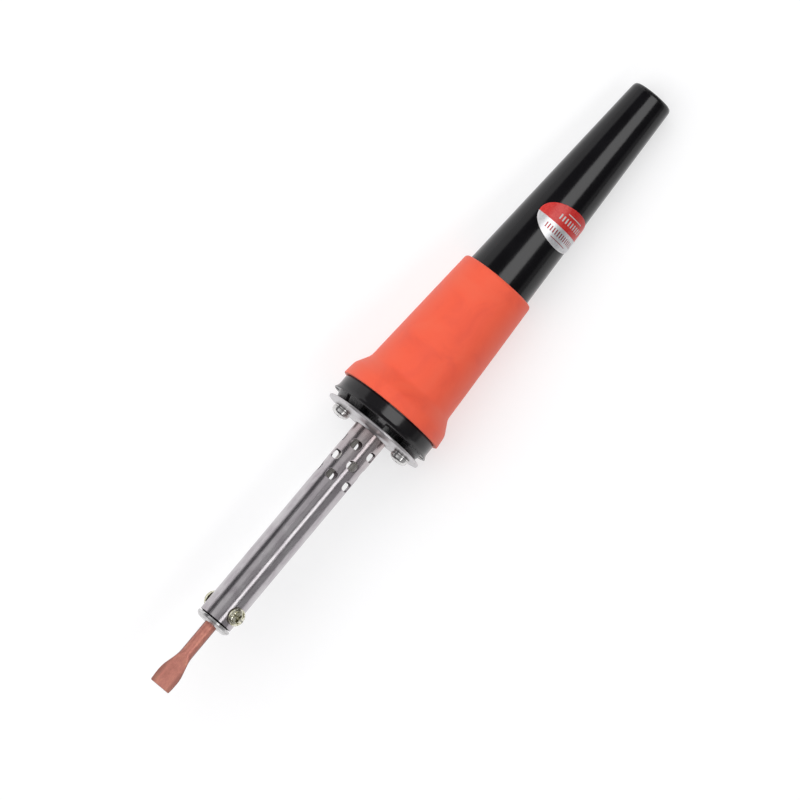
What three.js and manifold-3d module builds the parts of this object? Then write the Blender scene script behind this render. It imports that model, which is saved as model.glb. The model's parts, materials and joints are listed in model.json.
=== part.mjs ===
// A 30 W soldering iron with a forged copper bit, a vented steel barrel and a moulded handle
// with a silicone grip sleeve. Millimetres.
//
// Every piece is drawn in tool coordinates: +X runs along the tool axis from the bit to the
// cord end, +Z is up and the tool axis is y = z = 0. Stations are distances along X from the
// rear of the grip's front lip. The finished tool is then tipped and set down so that it rests
// on z = 0 as it does on a bench, on the grip's front lip and the rim of the cord end.
//
// Angles about the tool axis are measured from +Z towards -Y.

import * as THREE from 'three';
import { mergeVertices } from 'three/addons/utils/BufferGeometryUtils.js';
import Module from 'manifold-3d';

const wasm = await Module();
wasm.setup();

// ---------------------------------------------------------------- driving dimensions

const ROUND = 48; // facets round the large turned pieces
const SMALL_ROUND = 24; // facets round the small turned pieces
const SCREW_ROUND = 16; // facets round a screw
const FIT = 0.3; // gap left between pieces that touch
const RAD = Math.PI / 180;

const BIT = {
  tip: -109,
  shoulder: -96.5, // where the forged blade runs out into the round shank
  rear: -55,
  shankR: 2,
  bladeHalfWidth: 3.55,
  bladeHalfThickness: 0.9,
};

const BUSH = {
  front: -85.8,
  flangeRear: -84.15,
  rear: -76.5,
  flangeR: 5.7,
  plugR: 4.7,
  boreR: 2.25,
};

const BARREL = { front: -83.75, rear: -9.8, outerR: 5.5, innerR: 5.08 };

const CLAMP_SCREW = {
  station: -79.5,
  angle: 44, // the other screw is opposite
  shankR: 1.35,
  holeR: 1.65,
  tipR: 2.3, // distance of the tip from the tool axis
  seatR: 5.8, // distance of the underside of the head
  headR: 2.8,
  headEdge: 1.1,
  headDome: 0.5,
};

const VENT = {
  stations: [-29.85, -24.25, -18.65],
  angles: [-13, 23, -13], // angle of one slot of each row; the rows are staggered
  perRow: 5,
  axial: 2.9,
  around: 3.7,
  cornerR: 0.8,
};

const HEATER = { front: -73.8, rear: -38.5 };
const CORE = { outerR: 2.6, innerR: 2.25 };
const MICA_INNER = { outerR: 3.1, innerR: 2.8 };
const WINDING = { outerR: 3.65, innerR: 3.35, endMargin: 1.5 };
const MICA_OUTER = { outerR: 4.3, innerR: 3.9 };
const END_DISC = { front: -38, rear: -35, outerR: 4.8 };

const FLANGE = {
  front: -12.3,
  thickness: 1.0,
  outerR: 16.55,
  hubR: 6.6,
  hubLength: 0.9,
  screwPitchR: 11.25,
  screwAngle: 74,
  holeR: 1.75,
};

const FLANGE_SCREW = { shankR: 1.4, length: 7.2, headR: 2.9, headEdge: 1.1, headDome: 0.9 };
const WASHER = { outerR: 2.75, innerR: 1.7, thickness: 0.5 };
const INSERT = { front: -10.6, rear: -5.4, outerR: 2.1, innerR: 1.7 };

const HANDLE = {
  neckFront: -11.0,
  neckFrontR: 14.6,
  neckRearR: 15.3,
  neckInnerR: 12.3,
  collarR: 10.2,
  discFront: -9.1,
  rimR: 17.0,
  rimRear: -8.95,
  flareRear: -7.8,
  discR: 16.4,
  discRear: -4.4,
  bellR: 15.9,
  bellRear: -0.9,
  coneFront: 4.5,
  rear: 116.3,
  rearR: 6.7,
  taper: 0.055, // change of radius for each millimetre towards the bit
  endCornerR: 1.4,
  cavityFrontR: 8.4,
  cavityRear: 39,
  cavityRearR: 7.7,
  cordBoreFront: 46,
  cordBoreFrontR: 5.0,
  cordBoreR: 3.9,
  grommetSeat: 111,
  grommetSeatR: 4.2,
  bossR: 4.1,
};

// Two small round pockets in the front of the rim.
const RIM_POCKET = { pitchR: 15.8, angle: 86, radius: 0.8, depth: 1.1 };

// The neck between the flange and the handle's disc is a ring with windows that let the heat
// out. Each pair gives the start and the end of a window in degrees from the screw boss, and
// every window has a twin half a turn round. A plain collar inside it hides the barrel's tail.
const NECK_WINDOWS = [
  [31, 67],
  [82, 102],
  [124, 130],
];

const GRIP = {
  front: -4.1,
  lipR: 17.5,
  lipEdge: 0.25,
  lipRear: 0.1,
  lipRearR: 17.05,
  shoulderFront: 4.6,
  shoulderR: 14.55,
  rear: 45.2,
  rearR: 12.15,
  edgeR: 0.9,
  clearance: 0.12,
};

const LABEL = {
  station: 68.6,
  angle: 38,
  halfAxial: 6.2,
  halfAround: 10.5,
  standOff: 0.12,
  thickness: 0.18,
};

const GROMMET = { outerR: 4.0, innerR: 3.5, front: 111.3 };

const LEAD = { wireR: 0.4, sleeveInnerR: 0.72, sleeveR: 1.1, offset: 2.2 };

const TERMINAL_BLOCK = { front: 12.5, rear: 37.5, halfWidth: 5.8, top: 4.0, bottom: -4.4 };

const TERMINAL = {
  front: 16,
  rear: 34,
  inner: 0.7,
  outer: 4.6,
  bottom: -0.2,
  top: 3.6,
  boreR: 1.1,
  screwStations: [20, 30],
  screwR: 1.0,
  screwHoleR: 1.3,
  screwTip: 2.15,
  screwTop: 3.9,
};

// ---------------------------------------------------------------- materials

function metal(color, roughness) {
  return new THREE.MeshStandardMaterial({ color, roughness, metalness: 1 });
}

function dull(color, roughness) {
  return new THREE.MeshStandardMaterial({ color, roughness, metalness: 0 });
}

const copper = metal(0xb8735e, 0.5);
const barrelSteel = metal(0xaaa4a8, 0.3);
const bushSteel = metal(0xb4b1b2, 0.3);
const yellowZinc = metal(0xb7a261, 0.35);
const plateSteel = metal(0xa8a5a6, 0.4);
const screwSteel = metal(0xc8c6c4, 0.25);
const heaterSteel = metal(0x8d8a88, 0.5);
const nickelWire = metal(0x9c958c, 0.4);
const terminalBrass = metal(0xb99b54, 0.35);
const mica = dull(0xb9ab8c, 0.5);
const ceramicWhite = dull(0xe6e1d6, 0.6);
const glassSleeving = dull(0xd9d2c0, 0.9);
const blackMoulding = dull(0x232226, 0.25);
const orangeSilicone = dull(0xf06a48, 0.65);
const labelFoil = dull(0xc94040, 0.4);
const blackRubber = dull(0x1d1d1d, 0.85);

// ---------------------------------------------------------------- solids

// A boolean needs a mesh whose shared corners are merged and that has no empty triangles.
function solidFrom(geometry) {
  const bare = geometry.clone();
  bare.deleteAttribute('normal');
  bare.deleteAttribute('uv');
  const merged = mergeVertices(bare);
  const corners = Array.from(merged.index.array);
  const kept = [];
  for (let i = 0; i < corners.length; i += 3) {
    const [a, b, c] = corners.slice(i, i + 3);
    if (a !== b && b !== c && c !== a) kept.push(a, b, c);
  }
  const mesh = new wasm.Mesh({
    numProp: 3,
    vertProperties: new Float32Array(merged.attributes.position.array),
    triVerts: new Uint32Array(kept),
  });
  return new wasm.Manifold(mesh);
}

function geometryFrom(solid) {
  const mesh = solid.getMesh();
  const geometry = new THREE.BufferGeometry();
  geometry.setAttribute('position', new THREE.BufferAttribute(mesh.vertProperties, 3));
  geometry.setIndex(new THREE.BufferAttribute(mesh.triVerts, 1));
  geometry.computeVertexNormals();
  return geometry;
}

function cut(base, cutters) {
  return geometryFrom(cutters.reduce((left, cutter) => left.subtract(solidFrom(cutter)), solidFrom(base)));
}

function join(pieces) {
  return geometryFrom(pieces.map(solidFrom).reduce((whole, piece) => whole.add(piece)));
}

function common(pieces) {
  return geometryFrom(pieces.map(solidFrom).reduce((whole, piece) => whole.intersect(piece)));
}

// Turns a closed outline of [station, radius] points about the tool axis. The outline runs
// towards the rear along the outside and back along the bore or the axis. Half a facet of
// turn puts flats, not corners, at the top, the bottom and the sides.
function turned(outline, facets = ROUND) {
  const points = outline.map(([station, radius]) => new THREE.Vector2(radius, station));
  points.push(points[0].clone());
  const geometry = new THREE.LatheGeometry(points, facets, Math.PI / facets);
  return geometry.rotateZ(-Math.PI / 2);
}

function tube(front, rear, outerR, innerR, facets = ROUND) {
  return turned([[front, outerR], [rear, outerR], [rear, innerR], [front, innerR]], facets);
}

// A plain round bar along X.
function bar(front, rear, radius, facets = SMALL_ROUND) {
  const geometry = new THREE.CylinderGeometry(radius, radius, rear - front, facets);
  return geometry.rotateZ(-Math.PI / 2).translate((front + rear) / 2, 0, 0);
}

// A plain round bar standing along +Z.
function post(bottom, top, radius, facets = SMALL_ROUND) {
  const geometry = new THREE.CylinderGeometry(radius, radius, top - bottom, facets);
  return geometry.rotateX(Math.PI / 2).translate(0, 0, (bottom + top) / 2);
}

function block(low, high) {
  const size = high.map((value, i) => value - low[i]);
  const centre = high.map((value, i) => (value + low[i]) / 2);
  return new THREE.BoxGeometry(...size).translate(...centre);
}

// Points of a quarter circle about [station, radius], from one angle to another, in degrees
// from the outward direction towards the rear.
function corner(station, radius, size, from, to, steps = 3) {
  const points = [];
  for (let i = 0; i <= steps; i += 1) {
    const angle = (from + ((to - from) * i) / steps) * RAD;
    points.push([station + size * Math.sin(angle), radius + size * Math.cos(angle)]);
  }
  return points;
}

// A pan head screw standing on +Z: its tip at the bottom, its head's underside at the seat.
function panHeadScrew(tip, seat, shankR, headR, headEdge, headDome) {
  const edgeTop = seat + headEdge;
  const outline = [
    [tip, 0],
    [tip, shankR],
    [seat, shankR],
    [seat, headR],
    [edgeTop, headR],
    [edgeTop + headDome * 0.6, headR * 0.8],
    [edgeTop + headDome, headR * 0.45],
    [edgeTop + headDome, 0],
  ];
  const points = outline.map(([height, radius]) => new THREE.Vector2(radius, height));
  const head = new THREE.LatheGeometry(points, SCREW_ROUND).rotateX(Math.PI / 2);
  const recessDepth = 1.2;
  const recessHalfWidth = 0.35;
  const recessHalfLength = headR * 0.55;
  const top = edgeTop + headDome + 1;
  const bottom = edgeTop + headDome - recessDepth;
  const bars = [
    block([-recessHalfLength, -recessHalfWidth, bottom], [recessHalfLength, recessHalfWidth, top]),
    block([-recessHalfWidth, -recessHalfLength, bottom], [recessHalfWidth, recessHalfLength, top]),
  ];
  return cut(head, bars);
}

// ---------------------------------------------------------------- bit and clamp

// Half width of the forged blade at a station: an S from the shank to the full width, then a
// slight pinch at the square-cut end.
function bladeHalfWidthAt(station) {
  const fullWidthStation = -105.5;
  const along = (BIT.shoulder - station) / (BIT.shoulder - fullWidthStation);
  if (along > 1) {
    const pinch = 0.15;
    const past = (fullWidthStation - station) / (fullWidthStation - BIT.tip);
    return BIT.bladeHalfWidth - pinch * past * past;
  }
  const blend = (1 - Math.cos(Math.PI * Math.max(along, 0))) / 2;
  return BIT.shankR + (BIT.bladeHalfWidth - BIT.shankR) * blend;
}

function copperBit() {
  const steps = 12;
  const rear = BIT.shoulder + 2;
  const upper = [];
  for (let i = 0; i <= steps; i += 1) {
    const station = BIT.tip + ((rear - BIT.tip) * i) / steps;
    upper.push(new THREE.Vector2(station, bladeHalfWidthAt(station)));
  }
  const lower = upper.map((point) => new THREE.Vector2(point.x, -point.y)).reverse();
  const height = 3 * BIT.shankR;
  const plan = new THREE.ExtrudeGeometry(new THREE.Shape([...lower, ...upper]), {
    depth: height,
    bevelEnabled: false,
  }).translate(0, 0, -height / 2);

  const flatRear = -101.5;
  const rise = [
    [BIT.tip, BIT.bladeHalfThickness],
    [flatRear, BIT.bladeHalfThickness],
    [BIT.shoulder, BIT.shankR * 0.92],
    [rear, BIT.shankR * 1.02],
  ];
  const sideUpper = rise.map(([station, half]) => new THREE.Vector2(station, half));
  const sideLower = rise.map(([station, half]) => new THREE.Vector2(station, -half)).reverse();
  const width = 4 * BIT.bladeHalfWidth;
  const side = new THREE.ExtrudeGeometry(new THREE.Shape([...sideLower, ...sideUpper]), {
    depth: width,
    bevelEnabled: false,
  })
    .rotateX(Math.PI / 2)
    .translate(0, width / 2, 0);

  // The forging spreads out of the round bar, so its corners stay inside this cone.
  const spread = turned(
    [
      [BIT.tip - 1, 0],
      [BIT.tip - 1, BIT.bladeHalfWidth * 1.2],
      [BIT.tip + 5, BIT.bladeHalfWidth * 1.1],
      [BIT.shoulder + 1, BIT.shankR],
      [BIT.shoulder + 3, BIT.shankR],
      [BIT.shoulder + 3, 0],
    ],
    SMALL_ROUND,
  );
  const blade = common([plan, side, spread]);
  const chamfer = 0.4;
  const shank = turned(
    [
      [BIT.shoulder + 0.6, 0],
      [BIT.shoulder + 0.6, BIT.shankR],
      [BIT.rear - chamfer, BIT.shankR],
      [BIT.rear, BIT.shankR - chamfer],
      [BIT.rear, 0],
    ],
    SMALL_ROUND,
  );
  return join([blade, shank]);
}

function frontBush() {
  const edge = 0.35;
  const body = turned(
    [
      [BUSH.front, BUSH.flangeR - edge],
      [BUSH.front + edge, BUSH.flangeR],
      [BUSH.flangeRear, BUSH.flangeR],
      [BUSH.flangeRear, BUSH.plugR],
      [BUSH.rear, BUSH.plugR],
      [BUSH.rear, BUSH.boreR],
      [BUSH.front, BUSH.boreR],
    ],
    SMALL_ROUND,
  );
  return cut(body, [clampHole()]);
}

// One drill pass makes both clamp screw holes.
function clampHole() {
  const reach = BARREL.outerR + 2;
  return post(-reach, reach, CLAMP_SCREW.holeR)
    .rotateX(CLAMP_SCREW.angle * RAD)
    .translate(CLAMP_SCREW.station, 0, 0);
}

function clampScrew() {
  const { tipR, seatR, shankR, headR, headEdge, headDome } = CLAMP_SCREW;
  return panHeadScrew(tipR, seatR, shankR, headR, headEdge, headDome);
}

// ---------------------------------------------------------------- barrel and heater

function ventSlot(station, angle) {
  const halfX = VENT.axial / 2;
  const halfY = VENT.around / 2;
  const size = VENT.cornerR;
  const shape = new THREE.Shape();
  shape.absarc(halfX - size, -halfY + size, size, -Math.PI / 2, 0);
  shape.absarc(halfX - size, halfY - size, size, 0, Math.PI / 2);
  shape.absarc(-halfX + size, halfY - size, size, Math.PI / 2, Math.PI);
  shape.absarc(-halfX + size, -halfY + size, size, Math.PI, Math.PI * 1.5);
  return new THREE.ExtrudeGeometry(shape, { depth: 3, bevelEnabled: false, curveSegments: 1 })
    .translate(0, 0, BARREL.innerR - 1)
    .rotateX(angle * RAD)
    .translate(station, 0, 0);
}

function barrelTube() {
  const facets = 36;
  const body = tube(BARREL.front, BARREL.rear, BARREL.outerR, BARREL.innerR, facets);
  const slots = VENT.stations.flatMap((station, row) =>
    Array.from({ length: VENT.perRow }, (_, i) =>
      ventSlot(station, VENT.angles[row] + (i * 360) / VENT.perRow),
    ),
  );
  return cut(body, [clampHole(), ...slots]);
}

function endDisc() {
  const body = tube(END_DISC.front, END_DISC.rear, END_DISC.outerR, 0.9, SMALL_ROUND);
  const holes = [-1, 1].map((side) =>
    bar(END_DISC.front - 1, END_DISC.rear + 1, LEAD.wireR + FIT, 12).translate(0, side * LEAD.offset, 0),
  );
  return cut(body, holes);
}

// ---------------------------------------------------------------- leads and terminals

// The route of a heater lead: straight out of the end disc, then up into the terminal's bore.
function leadRoute(side, front, rear) {
  const boreY = (side * (TERMINAL.inner + TERMINAL.outer)) / 2;
  const boreZ = terminalBoreHeight();
  const bendFront = -6;
  const bendRear = TERMINAL.front - 4;
  const points = [front, bendFront - 8, bendFront, bendRear, (bendRear + rear) / 2, rear]
    .filter((station) => station <= rear)
    .map((station) => {
      const along = THREE.MathUtils.smoothstep(station, bendFront, bendRear);
      const y = THREE.MathUtils.lerp(side * LEAD.offset, boreY, along);
      return new THREE.Vector3(station, y, boreZ * along);
    });
  return new THREE.CatmullRomCurve3(points, false, 'centripetal');
}

function terminalBoreHeight() {
  return TERMINAL.bottom + 0.4 + TERMINAL.boreR;
}

function alongRoute(shape, route, steps) {
  return new THREE.ExtrudeGeometry(shape, {
    steps,
    bevelEnabled: false,
    extrudePath: route,
    curveSegments: 4,
  });
}

function circleShape(radius) {
  return new THREE.Shape().absarc(0, 0, radius, 0, Math.PI * 2);
}

function heaterLead(side) {
  const route = leadRoute(side, HEATER.rear + 0.8, TERMINAL.front + 5);
  return alongRoute(circleShape(LEAD.wireR), route, 14);
}

function leadSleeve(side) {
  const route = leadRoute(side, END_DISC.rear + 0.4, TERMINAL.front - 1);
  const section = circleShape(LEAD.sleeveR);
  section.holes.push(new THREE.Path().absarc(0, 0, LEAD.sleeveInnerR, 0, Math.PI * 2, true));
  return alongRoute(section, route, 14);
}

function terminal() {
  const { front, rear, inner, outer, bottom, top, boreR, screwStations, screwHoleR } = TERMINAL;
  const halfWidth = (outer - inner) / 2;
  const body = block([front, -halfWidth, bottom], [rear, halfWidth, top]);
  const bore = bar(front - 1, rear + 1, boreR, 16).translate(0, 0, terminalBoreHeight());
  const holes = screwStations.map((station) =>
    post(terminalBoreHeight(), top + 1, screwHoleR, 16).translate(station, 0, 0),
  );
  return cut(body, [bore, ...holes]);
}

function terminalScrew() {
  const { screwTip, screwTop, screwR } = TERMINAL;
  const slot = block([-screwR * 2, -0.2, screwTop - 0.5], [screwR * 2, 0.2, screwTop + 1]);
  return cut(post(screwTip, screwTop, screwR, 16), [slot]);
}

// A porcelain block with an open channel for each terminal.
function terminalBlock() {
  const { front, rear, halfWidth, top, bottom } = TERMINAL_BLOCK;
  const body = block([front, -halfWidth, bottom], [rear, halfWidth, top]);
  const inner = TERMINAL.inner - FIT;
  const outer = TERMINAL.outer + FIT;
  const channels = [-1, 1].map((side) => {
    const walls = [side * inner, side * outer].sort((a, b) => a - b);
    return block([front - 1, walls[0], TERMINAL.bottom - FIT], [rear + 1, walls[1], top + 1]);
  });
  return cut(body, channels);
}

// ---------------------------------------------------------------- flange

function aroundScrews(makeCutter) {
  return [0, 180].map((turn) =>
    makeCutter()
      .translate(0, 0, FLANGE.screwPitchR)
      .rotateX((FLANGE.screwAngle + turn) * RAD),
  );
}

function mountingFlange() {
  const rear = FLANGE.front + FLANGE.thickness;
  const edge = 0.3;
  const bore = BARREL.outerR + 0.15;
  const body = turned([
    [FLANGE.front - FLANGE.hubLength, bore + 0.3],
    [FLANGE.front - 0.25, FLANGE.hubR - 0.3],
    [FLANGE.front, FLANGE.hubR],
    [FLANGE.front, FLANGE.outerR - edge],
    [FLANGE.front + edge, FLANGE.outerR],
    [rear, FLANGE.outerR],
    [rear, bore],
    [FLANGE.front - FLANGE.hubLength, bore],
  ]);
  const holes = aroundScrews(() => bar(FLANGE.front - 1, rear + 1, FLANGE.holeR, 16));
  return cut(body, holes);
}

// Built standing on +Z and turned so that its head faces the bit.
function flangeScrew() {
  const seat = -FLANGE.front + WASHER.thickness + 0.2;
  const { shankR, length, headR, headEdge, headDome } = FLANGE_SCREW;
  return panHeadScrew(seat - length, seat, shankR, headR, headEdge, headDome).rotateY(-Math.PI / 2);
}

function flangeWasher() {
  const rear = FLANGE.front - 0.1;
  return tube(rear - WASHER.thickness, rear, WASHER.outerR, WASHER.innerR, SMALL_ROUND);
}

// ---------------------------------------------------------------- handle

function handleRadiusAt(station) {
  return HANDLE.rearR + HANDLE.taper * (HANDLE.rear - station);
}

function handleOutline() {
  const size = HANDLE.endCornerR;
  const cornerStation = HANDLE.rear - size;
  return [
    [HANDLE.discFront, HANDLE.rimR - 0.1],
    [HANDLE.discFront + 0.1, HANDLE.rimR],
    [HANDLE.rimRear, HANDLE.rimR],
    [HANDLE.flareRear, HANDLE.discR],
    [HANDLE.discRear - 0.2, HANDLE.discR],
    [HANDLE.discRear, HANDLE.bellR],
    [HANDLE.bellRear, HANDLE.bellR],
    [HANDLE.coneFront, handleRadiusAt(HANDLE.coneFront)],
    ...corner(cornerStation, handleRadiusAt(cornerStation) - size, size, 3, 90, 4),
    [HANDLE.rear, HANDLE.grommetSeatR],
    [HANDLE.grommetSeat, HANDLE.grommetSeatR],
    [HANDLE.grommetSeat, HANDLE.cordBoreR],
    [HANDLE.cordBoreFront, HANDLE.cordBoreFrontR],
    [HANDLE.cavityRear, HANDLE.cavityRearR],
    [HANDLE.discFront, HANDLE.cavityFrontR],
  ];
}

// A wedge of the neck ring between two angles.
function neckWindow(from, to) {
  const reach = HANDLE.neckRearR + 2;
  const shape = new THREE.Shape();
  shape.moveTo(0, 0);
  shape.absarc(0, 0, reach, from * RAD, to * RAD);
  const length = HANDLE.discFront - HANDLE.neckFront + 1;
  // The section is drawn with its zero angle on +X, which two turns carry to +Z.
  return new THREE.ExtrudeGeometry(shape, { depth: length, bevelEnabled: false, curveSegments: 6 })
    .rotateY(Math.PI / 2)
    .rotateX(Math.PI)
    .translate(HANDLE.neckFront - 1, 0, 0);
}

// The ring widens a little towards the disc. Its outline runs on into the disc.
function neckBlank(innerR) {
  const { neckFront, neckFrontR, neckRearR, discFront } = HANDLE;
  return turned([
    [neckFront, neckFrontR],
    [discFront, neckRearR],
    [discFront + 0.2, neckRearR],
    [discFront + 0.2, innerR],
    [neckFront, innerR],
  ]);
}

function neckRing() {
  const ring = neckBlank(HANDLE.neckInnerR);
  const windows = [0, 180].flatMap((turn) =>
    NECK_WINDOWS.map(([from, to]) => {
      const start = FLANGE.screwAngle + turn - to;
      return neckWindow(0, to - from).rotateX(start * RAD);
    }),
  );
  const bosses = aroundScrews(() => bar(HANDLE.neckFront, HANDLE.discFront + 0.2, HANDLE.bossR));
  const trimmedBosses = common([join(bosses), neckBlank(HANDLE.cavityFrontR)]);
  const collar = tube(HANDLE.neckFront, HANDLE.discFront + 0.2, HANDLE.collarR, HANDLE.cavityFrontR);
  return join([cut(ring, windows), trimmedBosses, collar]);
}

function handleShell() {
  const insertHoles = aroundScrews(() =>
    bar(HANDLE.neckFront - 1, INSERT.rear + 1.2, INSERT.outerR + 0.15, SMALL_ROUND),
  );
  return cut(join([turned(handleOutline()), neckRing()]), [...insertHoles, ...rimPockets()]);
}

function rimPockets() {
  const { pitchR, angle, radius, depth } = RIM_POCKET;
  return [0, 180].map((turn) =>
    bar(HANDLE.discFront - 1, HANDLE.discFront + depth, radius, 20)
      .translate(0, 0, pitchR)
      .rotateX((angle + turn) * RAD),
  );
}

function gripSleeve() {
  const { front, lipR, lipEdge, lipRear, lipRearR, shoulderFront, shoulderR } = GRIP;
  const { rear, rearR, edgeR, clearance } = GRIP;
  const over = (station) => handleRadiusAt(station) + clearance;
  const shoulderDrop = lipRearR - shoulderR;
  return turned([
    [front, lipR - lipEdge],
    [front + lipEdge, lipR],
    [lipRear - 0.7, lipRearR + 0.05],
    [lipRear + 0.6, lipRearR - 0.12 * shoulderDrop],
    [shoulderFront - 0.9, shoulderR + 0.14 * shoulderDrop],
    [shoulderFront + 0.5, shoulderR - 0.03],
    ...corner(rear - edgeR, rearR - edgeR, edgeR, 0, 80, 3),
    [rear, over(rear)],
    [HANDLE.coneFront, over(HANDLE.coneFront)],
    [HANDLE.bellRear, HANDLE.bellR + clearance],
    [front, HANDLE.bellR + clearance],
  ]);
}

function inletGrommet() {
  return tube(GROMMET.front, HANDLE.rear, GROMMET.outerR, GROMMET.innerR, SMALL_ROUND);
}

// The oval label lies on the handle's cone. Its outline is drawn as seen square on.
function ratingLabel() {
  const { station, angle, halfAxial, halfAround, standOff, thickness } = LABEL;
  const points = [];
  const count = 32;
  for (let i = 0; i < count; i += 1) {
    const turn = (i * 2 * Math.PI) / count;
    const radius = handleRadiusAt(station);
    const x = halfAxial * Math.cos(turn);
    const y = radius * Math.sin((halfAround * Math.sin(turn)) / radius);
    points.push(new THREE.Vector2(x, y));
  }
  const prism = new THREE.ExtrudeGeometry(new THREE.Shape(points), {
    depth: 12,
    bevelEnabled: false,
  }).translate(station, 0, 1);
  const front = station - halfAxial - 1;
  const rear = station + halfAxial + 1;
  const inner = (at) => handleRadiusAt(at) + standOff;
  const foil = turned([
    [front, inner(front) + thickness],
    [rear, inner(rear) + thickness],
    [rear, inner(rear)],
    [front, inner(front)],
  ]);
  return common([foil, prism.rotateX(angle * RAD)]);
}

// ---------------------------------------------------------------- assembly

const tool = new THREE.Group();

function piece(name, geometry, material, parent = tool) {
  const mesh = new THREE.Mesh(geometry, material);
  mesh.name = name;
  parent.add(mesh);
  return mesh;
}

piece('copper_bit', copperBit(), copper);
piece('front_bush', frontBush(), bushSteel);
piece('barrel_tube', barrelTube(), barrelSteel);

for (const [name, turn] of [['clamp_screw_upper', 0], ['clamp_screw_lower', 180]]) {
  const screw = piece(name, clampScrew(), yellowZinc);
  screw.position.x = CLAMP_SCREW.station;
  screw.rotation.x = (CLAMP_SCREW.angle + turn) * RAD;
}

const heaterLayers = [
  ['heater_core_tube', CORE, heaterSteel, 0],
  ['heater_mica_inner', MICA_INNER, mica, 0.5],
  ['heater_winding', WINDING, nickelWire, WINDING.endMargin],
  ['heater_mica_outer', MICA_OUTER, mica, 0.5],
];
for (const [name, layer, material, margin] of heaterLayers) {
  const geometry = tube(
    HEATER.front + margin,
    HEATER.rear - margin,
    layer.outerR,
    layer.innerR,
    SMALL_ROUND,
  );
  piece(name, geometry, material);
}
piece('heater_end_disc', endDisc(), ceramicWhite);

for (const [word, side] of [['left', 1], ['right', -1]]) {
  piece(`heater_lead_${word}`, heaterLead(side), nickelWire);
  piece(`lead_sleeve_${word}`, leadSleeve(side), glassSleeving);

  const terminalPlace = new THREE.Group();
  terminalPlace.position.y = (side * (TERMINAL.inner + TERMINAL.outer)) / 2;
  piece(`terminal_${word}`, terminal(), terminalBrass, terminalPlace);
  for (const [end, station] of [['front', TERMINAL.screwStations[0]], ['rear', TERMINAL.screwStations[1]]]) {
    const screw = piece(`terminal_screw_${word}_${end}`, terminalScrew(), screwSteel, terminalPlace);
    screw.position.x = station;
  }
  tool.add(terminalPlace);
}
piece('terminal_block', terminalBlock(), ceramicWhite);

piece('mounting_flange', mountingFlange(), plateSteel);
for (const [word, turn] of [['right', 0], ['left', 180]]) {
  const screwPlace = new THREE.Group();
  screwPlace.rotation.x = (FLANGE.screwAngle + turn) * RAD;
  const fastening = new THREE.Group();
  fastening.position.z = FLANGE.screwPitchR;
  screwPlace.add(fastening);
  piece(`flange_screw_${word}`, flangeScrew(), screwSteel, fastening);
  piece(`flange_washer_${word}`, flangeWasher(), screwSteel, fastening);
  const insert = tube(INSERT.front, INSERT.rear, INSERT.outerR, INSERT.innerR, SMALL_ROUND);
  piece(`screw_insert_${word}`, insert, terminalBrass, fastening);
  tool.add(screwPlace);
}

piece('handle_shell', handleShell(), blackMoulding);
piece('grip_sleeve', gripSleeve(), orangeSilicone);
piece('rating_label', ratingLabel(), labelFoil);
piece('inlet_grommet', inletGrommet(), blackRubber);

// ---------------------------------------------------------------- resting on the bench

// The tool rests on the grip's front lip and on the rim of the cord end, and the line through
// both gives the tip-up angle. Both are polygons with a flat underneath, so their depth is the
// apothem.
function restAngle() {
  const cornerStation = HANDLE.rear - HANDLE.endCornerR;
  const rim = corner(
    cornerStation,
    handleRadiusAt(cornerStation) - HANDLE.endCornerR,
    HANDLE.endCornerR,
    3,
    90,
    4,
  );
  const flat = Math.cos(Math.PI / ROUND);
  const slopes = rim.map(([station, radius]) =>
    Math.atan2((GRIP.lipR - radius) * flat, station - GRIP.front - GRIP.lipEdge),
  );
  return Math.min(...slopes);
}

const part = new THREE.Group();
tool.rotation.y = restAngle();
part.add(tool);
part.updateMatrixWorld(true);

// The origin is under the middle of the whole object.
const extent = new THREE.Box3().setFromObject(tool, true);
tool.position.x = -(extent.min.x + extent.max.x) / 2;
tool.position.z = -extent.min.z;

export default part;
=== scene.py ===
"""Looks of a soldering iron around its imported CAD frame.

Shapes are drawn in tool coordinates, in millimetres: +X runs along the tool axis from the bit
to the cord end and the axis is y = z = 0. The frame says how the tool lies on the bench, and
one matrix carries every finished mesh there. Angles about the axis go from +Z towards -Y.
"""

import json
import math

import bmesh
import bpy
from mathutils import Matrix, Vector, noise


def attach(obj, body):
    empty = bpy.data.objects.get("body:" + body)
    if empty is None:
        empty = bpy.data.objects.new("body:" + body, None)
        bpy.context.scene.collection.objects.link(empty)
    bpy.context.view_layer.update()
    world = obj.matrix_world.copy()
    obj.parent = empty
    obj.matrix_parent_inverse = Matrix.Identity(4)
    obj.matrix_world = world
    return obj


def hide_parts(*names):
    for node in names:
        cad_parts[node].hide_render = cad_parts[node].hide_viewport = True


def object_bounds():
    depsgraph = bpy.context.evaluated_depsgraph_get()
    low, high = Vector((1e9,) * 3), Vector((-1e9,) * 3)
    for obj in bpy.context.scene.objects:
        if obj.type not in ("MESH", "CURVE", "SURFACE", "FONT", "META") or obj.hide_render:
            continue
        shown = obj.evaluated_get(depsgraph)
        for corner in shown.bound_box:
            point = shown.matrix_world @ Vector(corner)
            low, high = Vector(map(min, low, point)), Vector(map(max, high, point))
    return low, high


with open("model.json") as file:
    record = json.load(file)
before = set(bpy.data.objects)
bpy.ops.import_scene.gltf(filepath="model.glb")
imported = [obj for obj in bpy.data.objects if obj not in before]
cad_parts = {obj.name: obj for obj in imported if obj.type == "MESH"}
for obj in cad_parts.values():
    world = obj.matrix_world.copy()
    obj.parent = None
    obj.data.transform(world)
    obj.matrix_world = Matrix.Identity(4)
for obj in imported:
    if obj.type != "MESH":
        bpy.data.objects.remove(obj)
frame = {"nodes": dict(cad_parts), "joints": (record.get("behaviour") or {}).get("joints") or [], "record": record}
cad_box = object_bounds()

MM = 0.001
AROUND = 160  # facets round the large turned pieces
SMALL_AROUND = 72  # facets round screws and other small turned pieces

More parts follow.
